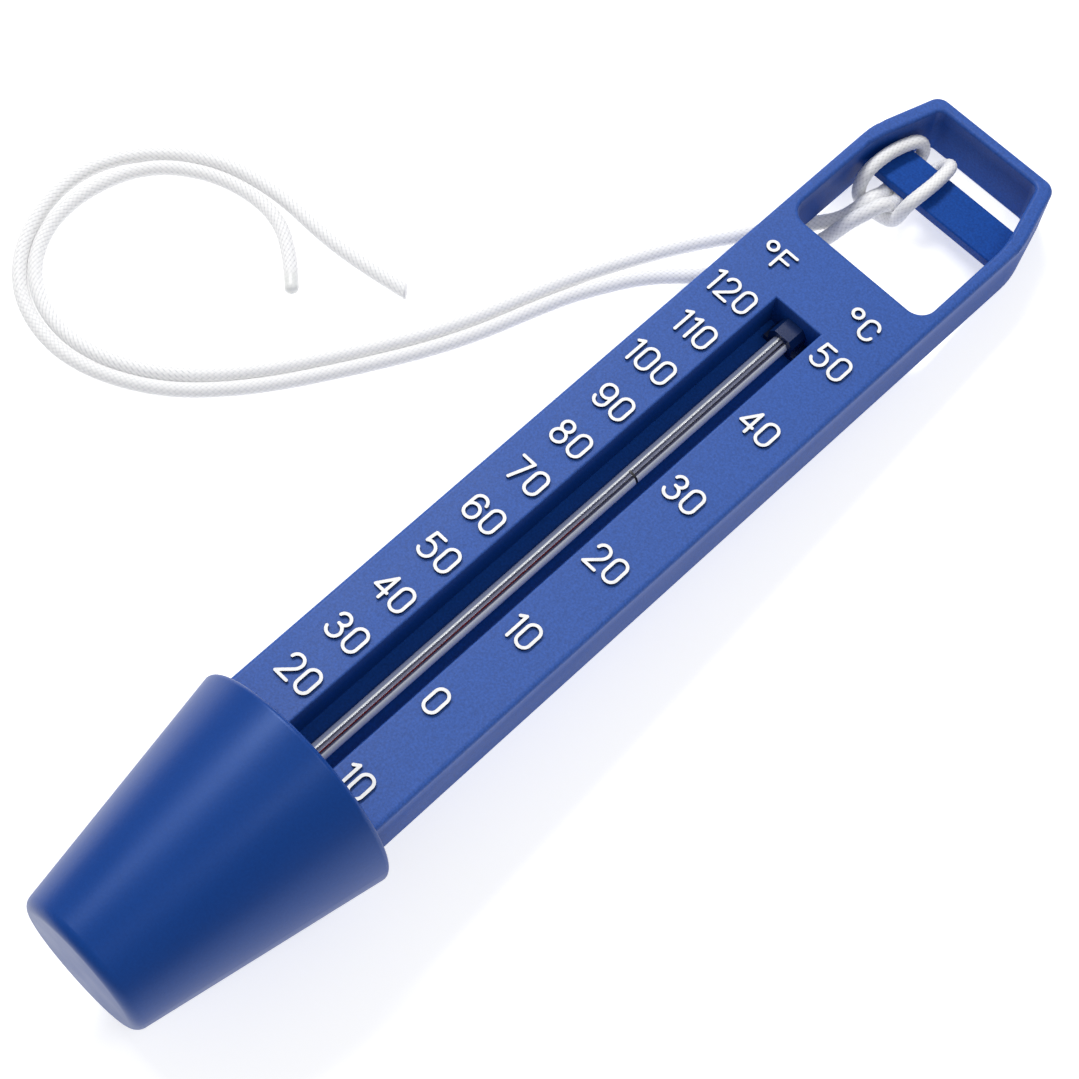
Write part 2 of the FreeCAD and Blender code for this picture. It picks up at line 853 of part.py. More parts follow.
# Routes on the assembly as it lies, in millimetres from the middle of its footprint.
# The cord is one piece, doubled and hitched on the cross bar: a stretch that the hitch holds
# and two free legs, which meet it behind the bar.
HITCH_ROUTE = [
    (-11.6, 114.0, 3.4),
    (-11.6, 121.6, 2.6),
    (-13.0, 121.9, 9.1),
    (-15.2, 115.4, 10.3),
    (-15.9, 109.2, 10.8),
    (-15.9, 105.6, 9.6),
    (-15.7, 104.2, 5.9),
    (-14.9, 104.0, 3.2),
    (-12.5, 104.2, 1.9),
    (-8.4, 104.7, 1.9),
    (-5.85, 104.9, 3.2),
    (-4.95, 105.15, 6.0),
    (-4.3, 106.8, 9.6),
    (-3.6, 110.6, 10.8),
    (-3.4, 115.4, 10.2),
    (-4.0, 121.9, 9.1),
    (-8.0, 121.6, 2.6),
    (-8.0, 114.0, 3.4),
]
INNER_LEG_ROUTE = [
    (-11.6, 114.0, 3.4),
    (-11.6, 107.8, 4.05),
    (-12.0, 104.4, 6.6),
    (-12.8, 101.0, 4.9),
    (-14.8, 97.5, 1.9),
    (-18.6, 92.6, 1.7),
    (-25.2, 83.2, 1.7),
    (-34.8, 69.0, 1.7),
    (-42.5, 54.5, 1.7),
    (-48.3, 41.5, 1.7),
    (-56.0, 20.0, 1.7),
    (-67.0, 0.5, 1.7),
    (-80.0, -19.5, 1.7),
    (-93.5, -33.0, 1.7),
    (-111.0, -40.5, 1.7),
    (-127.5, -38.5, 1.7),
    (-137.0, -28.5, 1.7),
    (-138.5, -14.5, 1.7),
    (-133.2, 0.5, 1.7),
    (-121.0, 9.6, 1.7),
    (-106.5, 12.6, 1.7),
    (-95.5, 9.0, 1.7),
    (-87.8, 2.1, 1.7),
]
OUTER_LEG_ROUTE = [
    (-8.0, 114.0, 3.4),
    (-8.0, 107.6, 4.07),
    (-8.8, 103.9, 8.2),
    (-10.0, 100.4, 7.4),
    (-11.8, 97.2, 5.4),
    (-13.4, 93.6, 2.0),
    (-14.6, 88.5, 1.7),
    (-18.5, 80.0, 1.7),
    (-25.0, 68.0, 1.7),
    (-34.8, 58.6, 1.7),
    (-41.3, 47.8, 1.7),
    (-45.2, 39.7, 1.7),
    (-52.8, 18.5, 1.7),
    (-64.0, -1.3, 1.7),
    (-77.3, -21.7, 1.7),
    (-91.5, -35.9, 1.7),
    (-110.5, -44.2, 1.7),
    (-129.2, -42.0, 1.7),
    (-140.5, -30.3, 1.7),
    (-143.3, -12.5, 1.7),
    (-136.8, 3.4, 1.7),
    (-122.4, 14.0, 1.7),
    (-107.0, 17.2, 1.7),
    (-92.0, 15.8, 1.7),
    (-80.0, 17.0, 1.7),
    (-69.7, 18.9, 1.7),
]
BEND_SHARE = 0.45


def rounded_path(name, route):
    """Straight runs joined by the largest tangent arcs that the runs leave room for."""
    points = [Vector(*point) for point in route]
    edges = []
    start = points[0]
    radii = []
    for before, corner, after in zip(points, points[1:], points[2:]):
        back = before - corner
        ahead = after - corner
        reach = BEND_SHARE * min(back.Length, ahead.Length)
        back.normalize()
        ahead.normalize()
        half_turn = (math.pi - back.getAngle(ahead)) / 2
        radius = reach / math.tan(half_turn)
        radii.append(radius)
        enter = corner + back * reach
        leave = corner + ahead * reach
        inward = (back + ahead).normalize()
        through = corner + inward * radius * (1 / math.cos(half_turn) - 1)
        edges.append(Part.LineSegment(start, enter).toShape())
        edges.append(Part.Arc(enter, through, leave).toShape())
        start = leave
    edges.append(Part.LineSegment(start, points[-1]).toShape())
    wire = Part.Wire(edges)
    print("%-18s %6.1f mm long, bend radii %s" % (name, wire.Length, " ".join("%.1f" % r for r in radii)))
    return wire


def build_cord(label, route, diameter):
    """A plain round tube along one route."""
    radius = diameter / 2
    wire = rounded_path(label, route)
    first = wire.Edges[0]
    section = Part.Circle(first.valueAt(first.FirstParameter), first.tangentAt(first.FirstParameter), radius)
    tube = wire.makePipeShell([Part.Wire(section.toShape())], True, True)
    expected = math.pi * radius ** 2 * wire.Length
    if abs(tube.Volume / expected - 1) > 0.01:
        raise ValueError("cord volume is off in " + label)
    feature = DOC.addObject("Part::Feature", label)
    feature.Label = label
    feature.Shape = tube
    CORDS.append(feature)


# ------------------------------------------------------------------ build, lay down, write

def checked(objects):
    for item in objects:
        for flag in ("Invalid", "Error"):
            if flag in item.State:
                raise ValueError("%s is %s" % (item.Name, flag))
    for node in NODES + CORDS:
        shape = node.Shape
        if shape.isNull() or not shape.isValid():
            raise ValueError("bad shape in " + node.Label)


def lay_down(body, cup):
    """Placement that lays the assembly on its back with its origin mid-footprint.

    It rests on the lowest point of the cup's rounded lip and on the head's back edge.
    """
    taper = math.atan2(mm("rim_radius") - mm("base_radius"), mm("cup_length"))
    lip = mm("lip_round")
    lip_centre_radius = mm("rim_radius") - lip * math.tan(taper) - lip / math.cos(taper)
    along = mm("head_top") + lip
    up = mm("cup_axis_drop") + lip_centre_radius - mm("body_depth")
    lean = math.atan2(up, along) + math.asin(lip / math.hypot(along, up))
    turned = Placement(Vector(), Rotation(Vector(1, 0, 0), -math.degrees(lean)))
    box = FreeCAD.BoundBox()
    for node in (body, cup):
        shape = node.Shape.copy()
        shape.Placement = turned
        box.add(shape.optimalBoundingBox())
    shift = Vector(-box.Center.x, -box.Center.y, -box.ZMin)
    print("lean %.4f degrees, shift %s, size %s" % (math.degrees(lean), tuple(shift),
          (box.XLength, box.YLength, box.ZLength)))
    return Placement(shift, turned.Rotation)


def main():
    scale_body = build_scale_body()
    build_back_cover()
    water_cup = build_water_cup()
    build_glass_tube()
    build_spirit_reservoir()
    build_spirit_thread()
    build_index_mark()
    build_tube_clip()
    build_bulb_grommet()
    build_figures("fahrenheit_figures", fahrenheit_entries(), mm("figure_height"))
    build_figures("celsius_figures", celsius_entries(), mm("figure_height"))
    build_figures("unit_marks", unit_entries(), mm("unit_height"))
    resting = lay_down(scale_body, water_cup)
    for node in NODES:
        node.Placement = resting
    build_cord("cord_hitch", HITCH_ROUTE, mm("hitch_diameter"))
    build_cord("cord_inner_leg", INNER_LEG_ROUTE, mm("cord_diameter"))
    build_cord("cord_outer_leg", OUTER_LEG_ROUTE, mm("cord_diameter"))
    DOC.recompute()
    checked(DOC.Objects)
    os.makedirs("parts", exist_ok=True)
    for node in NODES + CORDS:
        node.Shape.exportStep("parts/%s.step" % node.Label)
        print("%-22s %9.1f mm3  %d solids" % (node.Label, node.Shape.Volume, len(node.Shape.Solids)))


main()
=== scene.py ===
"""Looks for the floating pool thermometer: camera, braided cord, materials, lights and floor."""
import math

import bpy
import numpy as np
from mathutils import Matrix, Vector


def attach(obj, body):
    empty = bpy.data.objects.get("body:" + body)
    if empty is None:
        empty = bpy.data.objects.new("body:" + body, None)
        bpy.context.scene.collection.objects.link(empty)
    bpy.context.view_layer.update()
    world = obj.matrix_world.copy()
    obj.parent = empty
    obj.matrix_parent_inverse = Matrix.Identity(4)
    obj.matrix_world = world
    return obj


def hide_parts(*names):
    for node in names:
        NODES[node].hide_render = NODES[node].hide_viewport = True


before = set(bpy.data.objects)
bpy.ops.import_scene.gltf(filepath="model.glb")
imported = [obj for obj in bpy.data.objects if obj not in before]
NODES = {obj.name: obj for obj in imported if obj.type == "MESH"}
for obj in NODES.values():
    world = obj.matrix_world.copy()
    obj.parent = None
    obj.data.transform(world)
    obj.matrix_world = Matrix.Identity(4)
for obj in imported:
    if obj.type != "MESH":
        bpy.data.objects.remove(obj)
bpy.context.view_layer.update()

MM = 0.001


def add_to_scene(name, data):
    """A new object that holds the data."""
    thing = bpy.data.objects.new(name, data)
    bpy.context.scene.collection.objects.link(thing)
    return thing


# ------------------------------------------------------------------ camera

CAMERA_PLACE = Vector((129.1, -135.6, 476.9)) * MM
CAMERA_TARGET = Vector((-8.8, -1.4, 0.0)) * MM
PICTURE_UP_HEADING = math.radians(134.8)
LENS = 82.4
SENSOR_WIDTH = 36.0
NEAREST_SEEN = 0.01
FARTHEST_SEEN = 10.0


def make_camera():
    """Looks down from beyond the cup's right side, rolled so that the body runs corner to corner."""
    data = bpy.data.cameras.new("camera")
    data.lens = LENS
    data.sensor_width = SENSOR_WIDTH
    data.clip_start = NEAREST_SEEN
    data.clip_end = FARTHEST_SEEN
    camera = add_to_scene("camera", data)
    forward = (CAMERA_TARGET - CAMERA_PLACE).normalized()
    up_hint = Vector((math.cos(PICTURE_UP_HEADING), math.sin(PICTURE_UP_HEADING), 0.0))
    right = forward.cross(up_hint).normalized()
    up = right.cross(forward)
    turn = Matrix((right, up, -forward)).transposed()
    camera.matrix_world = Matrix.Translation(CAMERA_PLACE) @ turn.to_4x4()
    bpy.context.scene.camera = camera


# ------------------------------------------------------------------ cord

CORD_DIAMETER = 3.4 * MM
HITCH_DIAMETER = 3.15 * MM  # the hitch is drawn tight

# Control points of the three stretches of cord, in mm.
HITCH_ROUTE = [
    (-11.6, 114.0, 3.4),
    (-11.6, 121.6, 2.6),
    (-13.0, 121.9, 9.1),
    (-15.2, 115.4, 10.3),
    (-15.9, 109.2, 10.8),
    (-15.9, 105.6, 9.6),
    (-15.7, 104.2, 5.9),
    (-14.9, 104.0, 3.2),
    (-12.5, 104.2, 1.9),
    (-8.4, 104.7, 1.9),
    (-5.85, 104.9, 3.2),
    (-4.95, 105.15, 6.0),
    (-4.3, 106.8, 9.6),
    (-3.6, 110.6, 10.8),
    (-3.4, 115.4, 10.2),
    (-4.0, 121.9, 9.1),
    (-8.0, 121.6, 2.6),
    (-8.0, 114.0, 3.4),
]
INNER_LEG_ROUTE = [
    (-11.6, 114.0, 3.4),
    (-11.6, 107.8, 4.05),
    (-12.0, 104.4, 6.6),
    (-12.8, 101.0, 4.9),
    (-14.8, 97.5, 1.9),
    (-18.6, 92.6, 1.7),
    (-25.2, 83.2, 1.7),
    (-34.8, 69.0, 1.7),
    (-42.5, 54.5, 1.7),
    (-48.3, 41.5, 1.7),
    (-56.0, 20.0, 1.7),
    (-67.0, 0.5, 1.7),
    (-80.0, -19.5, 1.7),
    (-93.5, -33.0, 1.7),
    (-111.0, -40.5, 1.7),
    (-127.1, -38.1, 1.7),
    (-136.5, -28.2, 1.7),
    (-138.5, -14.5, 1.7),
    (-133.2, 0.5, 1.7),
    (-121.0, 9.6, 1.7),
    (-106.5, 12.6, 1.7),
    (-95.5, 9.0, 1.7),
    (-86.9, 1.2, 1.7),
]
OUTER_LEG_ROUTE = [
    (-8.0, 114.0, 3.4),
    (-8.0, 107.6, 4.07),
    (-8.8, 103.9, 8.2),
    (-10.0, 100.4, 7.4),
    (-11.8, 97.2, 5.4),
    (-13.4, 93.6, 2.0),
    (-14.6, 88.5, 1.7),
    (-18.5, 80.0, 1.7),
    (-25.0, 68.0, 1.7),
    (-34.8, 58.6, 1.7),
    (-41.3, 47.8, 1.7),
    (-45.2, 39.7, 1.7),
    (-52.8, 18.5, 1.7),
    (-64.0, -1.3, 1.7),
    (-77.3, -21.7, 1.7),
    (-91.5, -35.9, 1.7),
    (-110.5, -44.2, 1.7),
    (-128.6, -41.4, 1.7),
    (-139.8, -29.8, 1.7),
    (-143.3, -12.5, 1.7),
    (-136.1, 2.7, 1.7),
    (-121.8, 13.25, 1.7),
    (-106.5, 16.2, 1.7),
    (-92.0, 15.8, 1.7),
    (-80.0, 17.0, 1.7),
    (-69.7, 18.9, 1.7),
]

CURVE_STEPS = 20          # points per control point when the line is read from the spline
CORD_SIDES = 40           # points in each ring of the tube
CORD_STEP = 0.27 * MM     # distance between rings
BRAID_AROUND = 10         # strands of each hand round the cord
BRAID_PITCH = 1.35 * MM   # length of one strand along the cord
BRAID_RELIEF = 0.14 * MM  # depth of the grooves between strands
STRAND_DIP = 0.45         # height of a strand where it goes under, as a share of its top
MELTED_LENGTH = 6.0 * MM  # braid that turns smooth towards a melted end
MELTED_WIDTH = 0.95       # melted width, as a share of the cord's
NOSE_LENGTH = 1.5 * MM    # rounded part of a melted end
NOSE_TIP = 0.12           # width of the nose's last ring, as a share
CUT_SLANT = 0.45          # slope of a cut end
CUT_REACH = 2.0           # diameters over which the rings lean towards the cut


def spline_points(name, route):
    """Points along the smooth NURBS line whose control points are the route's."""
    curve = bpy.data.curves.new(name + "_route", "CURVE")
    curve.dimensions = "3D"
    curve.resolution_u = CURVE_STEPS
    spline = curve.splines.new("NURBS")
    spline.points.add(len(route) - 1)
    for point, place in zip(spline.points, route):
        point.co = (*(Vector(place) * MM), 1.0)
    spline.order_u = 3
    spline.use_endpoint_u = True
    holder = bpy.data.objects.new(name + "_route", curve)
    mesh = bpy.data.meshes.new_from_object(holder)
    points = np.array([vertex.co[:] for vertex in mesh.vertices])
    bpy.data.objects.remove(holder)
    bpy.data.curves.remove(curve)
    bpy.data.meshes.remove(mesh)
    return points


def evenly_spaced(points, step):
    """The same line as points a fixed distance apart, and their distances along it."""
    gaps = np.linalg.norm(np.diff(points, axis=0), axis=1)
    along = np.concatenate([[0.0], np.cumsum(gaps)])
    count = int(round(along[-1] / step)) + 1
    wanted = np.linspace(0.0, along[-1], count)
    line = np.column_stack([np.interp(wanted, along, points[:, axis]) for axis in range(3)])
    return line, wanted


def carried_frames(line):
    """Two directions square to the line at each point, carried along it without twist."""
    tangents = np.gradient(line, axis=0)
    tangents /= np.linalg.norm(tangents, axis=1)[:, None]
    side = np.cross(tangents[0], (0.0, 0.0, 1.0))
    sides = []
    for tangent in tangents:
        side = side - tangent * np.dot(side, tangent)
        side /= np.linalg.norm(side)
        sides.append(side.copy())
    sides = np.array(sides)
    return sides, np.cross(tangents, sides)


def braid_relief(turn, along):
    """Height from 0 to 1 of a plain braid: two families of strands that go over and under."""
    right_hand = BRAID_AROUND * turn + along / BRAID_PITCH
    left_hand = BRAID_AROUND * turn - along / BRAID_PITCH
    over = (np.floor(right_hand) + np.floor(left_hand)) % 2 < 0.5
    across = np.where(over, right_hand, left_hand) % 1.0
    lengthwise = np.where(over, left_hand, right_hand) % 1.0
    rise = STRAND_DIP + (1.0 - STRAND_DIP) * np.sin(np.pi * lengthwise)
    return np.sqrt(np.sin(np.pi * across)) * rise


def melted_radius(radius, diameter, left, melted):
    """The radius of a braid that runs into a smooth round nose."""
    nose = np.clip(left / NOSE_LENGTH, 0.0, 1.0)
    rounding = np.maximum(np.sqrt(1.0 - (1.0 - nose) ** 2), NOSE_TIP)
    smooth = MELTED_WIDTH * diameter / 2
    return (radius + (smooth - radius) * melted[:, None]) * rounding[:, None]


def cut_shift(radius, diameter, left, angle, line):
    """How far the last rings' points move along the cord, so that it ends in a slanted cut."""
    tangent = (line[-1] - line[-2]) / np.linalg.norm(line[-1] - line[-2])
    share = np.clip(1.0 - left / (CUT_REACH * diameter), 0.0, 1.0)
    lean = share[:, None] * CUT_SLANT * radius * np.cos(angle)
    return lean[:, :, None] * tangent


def tube_faces(count):
    """Faces of a closed tube of that many rings."""
    row = np.arange(count - 1)[:, None] * CORD_SIDES
    here = np.arange(CORD_SIDES)[None, :]
    following = (here + 1) % CORD_SIDES
    quads = np.stack([row + here, row + following, row + CORD_SIDES + following,
                      row + CORD_SIDES + here], axis=2).reshape(-1, 4)
    faces = quads.tolist()
    faces.append(list(range(CORD_SIDES))[::-1])
    faces.append(list(range((count - 1) * CORD_SIDES, count * CORD_SIDES)))
    return faces


def store(mesh, name, values):
    """Gives each point of a mesh one number, for its material to read."""
    layer = mesh.attributes.new(name, "FLOAT", "POINT")
    layer.data.foreach_set("value", values.ravel().astype(np.float32))


def build_cord(name, route, diameter, material, end="held"):
    """A braided tube along a route; its last end is held, melted smooth or cut on the slant."""
    line, along = evenly_spaced(spline_points(name, route), CORD_STEP)
    sides, ups = carried_frames(line)
    left = along[-1] - along
    turns = np.arange(CORD_SIDES) / CORD_SIDES
    angle = 2 * np.pi * turns
    relief = braid_relief(turns[None, :], along[:, None])
    radius = diameter / 2 - BRAID_RELIEF * (1.0 - relief)
    melted = np.zeros(len(line))
    if end == "melted":
        melted = np.clip(2.0 * (1.0 - left / MELTED_LENGTH), 0.0, 1.0)
        radius = melted_radius(radius, diameter, left, melted)
    rings = (line[:, None, :]
             + sides[:, None, :] * (radius * np.cos(angle))[:, :, None]
             + ups[:, None, :] * (radius * np.sin(angle))[:, :, None])
    if end == "cut":
        rings = rings + cut_shift(radius, diameter, left, angle, line)
    mesh = bpy.data.meshes.new(name)
    mesh.from_pydata(rings.reshape(-1, 3).tolist(), [], tube_faces(len(line)))
    mesh.update()
    mesh.shade_smooth()
    mesh.materials.append(material)
    store(mesh, "relief", relief)
    store(mesh, "sealed", np.repeat(melted, CORD_SIDES))
    piece = add_to_scene(name + "_braid", mesh)
    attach(piece, "thermometer")
    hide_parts(name)


# ------------------------------------------------------------------ shader

class Shader:
    """A principled material with short calls for the textures that feed it."""

    def __init__(self, name):
        self.material = bpy.data.materials.new(name)
        self.material.use_nodes = True
        self.nodes = self.material.node_tree.nodes
        self.links = self.material.node_tree.links
        self.surface = self.nodes["Principled BSDF"]
        coordinates = self.nodes.new("ShaderNodeTexCoord")
        self.place = coordinates.outputs["Object"]
        self.normal = coordinates.outputs["Normal"]

    # values that are the same all over, and textures that drive the surface

    def set(self, **values):
        """Values on the surface's own sockets, with _ for the spaces in their names."""
        for key, value in values.items():
            self.surface.inputs[key.replace("_", " ")].default_value = value

    def tint(self, socket, colour):
        """One colour on a colour socket of the surface."""
        self.surface.inputs[socket].default_value = (*colour, 1.0)

    def drive(self, socket, source):
        """Feeds a socket of the surface."""
        self.links.new(source, self.surface.inputs[socket])

    def bump(self, height, depth, strength=1.0):
        """Fine relief, depth in metres."""
        node = self.nodes.new("ShaderNodeBump")
        node.inputs["Distance"].default_value = depth
        node.inputs["Strength"].default_value = strength
        self.links.new(height, node.inputs["Height"])
        self.drive("Normal", node.outputs["Normal"])

    # sources

    def noise(self, scale, detail=3.0, roughness=0.5, stretch=None):
        """Soft noise fixed in the object; stretch scales its axes."""
        node = self.nodes.new("ShaderNodeTexNoise")
        node.inputs["Scale"].default_value = scale
        node.inputs["Detail"].default_value = detail
        node.inputs["Roughness"].default_value = roughness
        source = self.place
        if stretch:
            mapping = self.nodes.new("ShaderNodeMapping")
            mapping.inputs["Scale"].default_value = stretch
            self.links.new(source, mapping.inputs["Vector"])
            source = mapping.outputs["Vector"]
        self.links.new(source, node.inputs["Vector"])
        return node.outputs["Fac"]

    def attribute(self, name):
        """A number stored at the mesh's points."""
        node = self.nodes.new("ShaderNodeAttribute")
        node.attribute_name = name
        return node.outputs["Fac"]

    def part_along(self, vector, direction):
        """The part of a vector that lies along a fixed direction."""
        node = self.nodes.new("ShaderNodeVectorMath")
        node.operation = "DOT_PRODUCT"
        node.inputs[1].default_value = direction
        self.links.new(vector, node.inputs[0])
        return node.outputs["Value"]

    def distance(self, direction, level):
        """Signed distance of the shaded point from a plane."""
        node = self.nodes.new("ShaderNodeMath")
        node.operation = "SUBTRACT"
        node.inputs[1].default_value = level
        self.links.new(self.part_along(self.place, direction), node.inputs[0])
        return node.outputs["Value"]

    def facing(self, direction):
        """Cosine between the surface's normal and a direction fixed in the object."""
        return self.part_along(self.normal, direction)

    # what is done with them

    def ramp(self, factor, *stops):
        """Colours by a factor; each stop is a place from 0 to 1 and a colour."""
        node = self.nodes.new("ShaderNodeValToRGB")
        elements = node.color_ramp.elements
        while len(elements) < len(stops):
            elements.new(0.5)
        for element, (at, colour) in zip(elements, stops):
            element.position = at
            element.color = (*colour, 1.0)
        self.links.new(factor, node.inputs["Fac"])
        return node.outputs["Color"]

    def span(self, factor, low, high, start=0.0, end=1.0):
        """Runs from low to high while the factor runs from start to end."""
        node = self.nodes.new("ShaderNodeMapRange")
        node.inputs["From Min"].default_value = start
        node.inputs["From Max"].default_value = end
        node.inputs["To Min"].default_value = low
        node.inputs["To Max"].default_value = high
        self.links.new(factor, node.inputs["Value"])
        return node.outputs["Result"]

    def blend(self, factor, first, second, mode="MIX"):
        """Mix of two colours; the factor is a number or a source."""
        node = self.nodes.new("ShaderNodeMix")
        node.data_type = "RGBA"
        node.blend_type = mode
        if isinstance(factor, float):
            node.inputs["Factor"].default_value = factor
        else:
            self.links.new(factor, node.inputs["Factor"])
        self.links.new(first, node.inputs["A"])
        self.links.new(second, node.inputs["B"])
        return node.outputs["Result"]

    def times(self, first, second):
        """Product of two colours."""
        return self.blend(1.0, first, second, "MULTIPLY")

    def extreme(self, operation, first, second):
        """MINIMUM or MAXIMUM of two numbers."""
        node = self.nodes.new("ShaderNodeMath")
        node.operation = operation
        self.links.new(first, node.inputs[0])
        self.links.new(second, node.inputs[1])
        return node.outputs["Value"]


def scaled(colour, factor):
    """A colour made darker or lighter."""
    return tuple(channel * factor for channel in colour)


def grey(level):
    """A colour without hue."""
    return (level, level, level)


# ------------------------------------------------------------------ materials

FACE_NORMAL = (0.0, 0.10444, 0.99453)  # square to the scale, which leans 6 degrees
FACE_LEVEL = 26.99 * MM                # the scale's distance from the origin, along it
SUNK_DEPTH = 4.0 * MM                  # below this the body has its full painted shade
TUBE_AXIS_LEVEL = FACE_LEVEL - 6.6 * MM
TUBE_RADIUS = 2.0 * MM

BODY_BLUE = (0.026, 0.090, 0.370)
BODY_PAINTED_RECESS_SHADE = (0.22, 0.65, 0.82)       # painted shade: multiplies the blue inside the slot and the head
CUP_BLUE = (0.0005, 0.042, 0.245)
CUP_GLOSS = (0.42, 0.58, 1.0)
CLIP_BLUE = (0.004, 0.018, 0.085)
GLASS_GREY = (0.190, 0.215, 0.320)
GLASS_CORE = (0.185, 0.200, 0.290)
# Painted highlight, painted line of shade and pale painted light on the glass stem.
GLASS_PAINTED_HIGHLIGHT = (0.95, 0.98, 1.0)
GLASS_PAINTED_SHADE_LINE = (0.085, 0.085, 0.150)
GLASS_PAINTED_PALE_LIGHT = (0.94, 0.93, 1.0)
GLASS_MILK = (0.30, 0.32, 0.45)
CORD_GLOW = 0.6 * MM                   # how far light spreads inside the braid


def moulded_plastic(name, colour, roughness, grain, grain_depth, mottle, gloss,
                    gloss_tint=grey(1.0), sunk_painted_shade=None, sunk_gloss=1.0):
    """Coloured plastic with a fine moulded grain, faint cloudy streaks and, where it is asked
    for, painted shade below the face of the scale: a darker tone and a weaker reflection."""
    shader = Shader(name)
    speckle = shader.noise(2100.0, detail=3.0, roughness=0.6)
    cloud = shader.noise(70.0, detail=4.0, stretch=(1.0, 0.35, 1.0))
    fine = shader.ramp(speckle, (0.32, scaled(colour, 1.0 - mottle)), (0.50, colour),
                       (0.68, scaled(colour, 1.0 + mottle)))
    broad = shader.ramp(cloud, (0.30, scaled(colour, 0.93)), (0.70, scaled(colour, 1.06)))
    base = shader.blend(0.35, fine, broad)
    shader.set(IOR=1.49, Specular_IOR_Level=gloss)
    shader.tint("Specular Tint", gloss_tint)
    # Painted shade: below the face of the scale the colour darkens and the reflection weakens with
    # depth, for the shade in the slot and the head.
    if sunk_painted_shade:
        depth = shader.distance(FACE_NORMAL, FACE_LEVEL)
        height = shader.span(depth, 0.0, 1.0, -SUNK_DEPTH, 0.0)
        base = shader.times(base, shader.ramp(height, (0.0, sunk_painted_shade), (0.9, grey(1.0))))
        shine = shader.span(depth, sunk_gloss * gloss, gloss, -SUNK_DEPTH, 0.0)
        shader.drive("Specular IOR Level", shine)
    shader.drive("Base Color", base)
    shader.drive("Roughness", shader.span(cloud, roughness - 0.05, roughness + 0.06, 0.3, 0.7))
    shader.bump(shader.noise(grain, detail=2.0), grain_depth, 0.6)
    return shader.material


def body_material():
    """Scale body and cover: grained satin plastic, with painted shade in the slot and the head."""
    return moulded_plastic("body_plastic", BODY_BLUE, roughness=0.46, grain=1900.0,
                           grain_depth=0.05 * MM, mottle=0.30, gloss=0.30,
                           sunk_painted_shade=BODY_PAINTED_RECESS_SHADE, sunk_gloss=0.4)


def cup_material():
    """Water cup: smoother, with a broad blue shine."""
    return moulded_plastic("cup_plastic", CUP_BLUE, roughness=0.38, grain=1300.0,
                           grain_depth=0.02 * MM, mottle=0.12, gloss=0.62,
                           gloss_tint=CUP_GLOSS)


def clip_material():
    """Clip: dark and glossy."""
    return moulded_plastic("clip_plastic", CLIP_BLUE, roughness=0.24, grain=1500.0,
                           grain_depth=0.01 * MM, mottle=0.15, gloss=0.5)


def figure_material():
    """Raised figures: their tops hot-stamped white, their sides the body's blue with painted shade
    that makes them much darker.
    """
    shader = Shader("white_figures")
    wear = shader.noise(900.0, detail=3.0)
    stamped = shader.ramp(wear, (0.25, (0.80, 0.81, 0.82)), (0.60, (0.93, 0.93, 0.93)))
    # Painted shade: the unstamped sides are much darker than the body's blue, so that each figure
    # gets a dark outline.
    shaded_sides = shader.ramp(wear, (0.25, (0.004, 0.012, 0.060)), (0.75, (0.008, 0.022, 0.095)))
    top = shader.span(shader.facing(FACE_NORMAL), 0.0, 1.0, 0.75, 0.9)
    shader.drive("Base Color", shader.blend(top, shaded_sides, stamped))
    shader.drive("Roughness", shader.span(wear, 0.34, 0.46))
    shader.bump(shader.noise(3000.0), 0.01 * MM, 0.4)
    return shader.material


